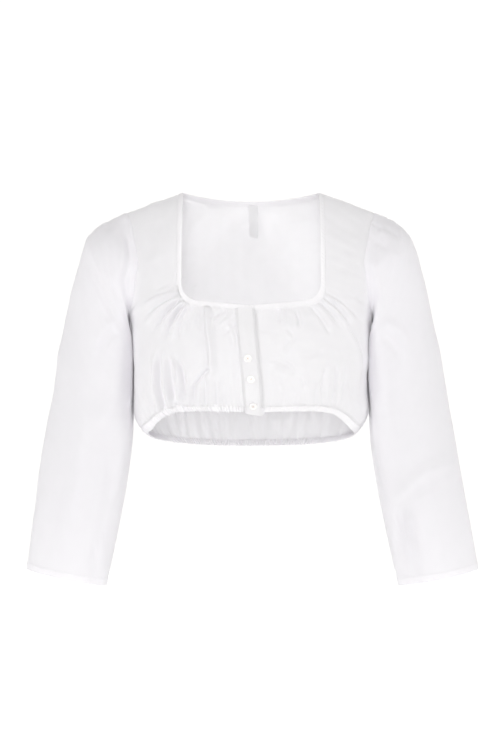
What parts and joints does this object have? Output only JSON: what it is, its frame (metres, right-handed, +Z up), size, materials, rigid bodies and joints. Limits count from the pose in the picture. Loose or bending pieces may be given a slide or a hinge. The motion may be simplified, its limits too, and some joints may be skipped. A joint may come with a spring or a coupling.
{
  "type": "dirndl blouse",
  "caption": "Short white blouse with a square bound neckline, gathered fronts, a buttoned placket, an elastic hem and three-quarter sleeves, worn and hollow.",
  "frame": {"origin": "midway between the neck ends of the two shoulder seams, where the wearer's shoulders hold the blouse", "axes": "+Z up, -Y out of the front, -X towards the wearer's right"},
  "size_m": [0.6278, 0.2134, 0.5482],
  "materials": {
    "cotton": "plain-weave white cotton poplin, matte",
    "button": "cream-white, soft pearl sheen",
    "label": "white woven satin ribbon, left blank"
  },
  "bodies": {
    "root": {"front_right": "cotton", "front_left": "cotton", "back": "cotton", "sleeve_right": "cotton", "sleeve_hem_right": "cotton", "sleeve_left": "cotton", "sleeve_hem_left": "cotton", "hem_casing_front_right": "cotton", "hem_casing_front_left": "cotton", "hem_casing_back": "cotton", "neck_binding": "cotton", "placket_right": "cotton", "placket_left": "cotton", "button_1": "button", "button_2": "button", "button_3": "button", "neck_label": "label"}
  },
  "joints": []
}
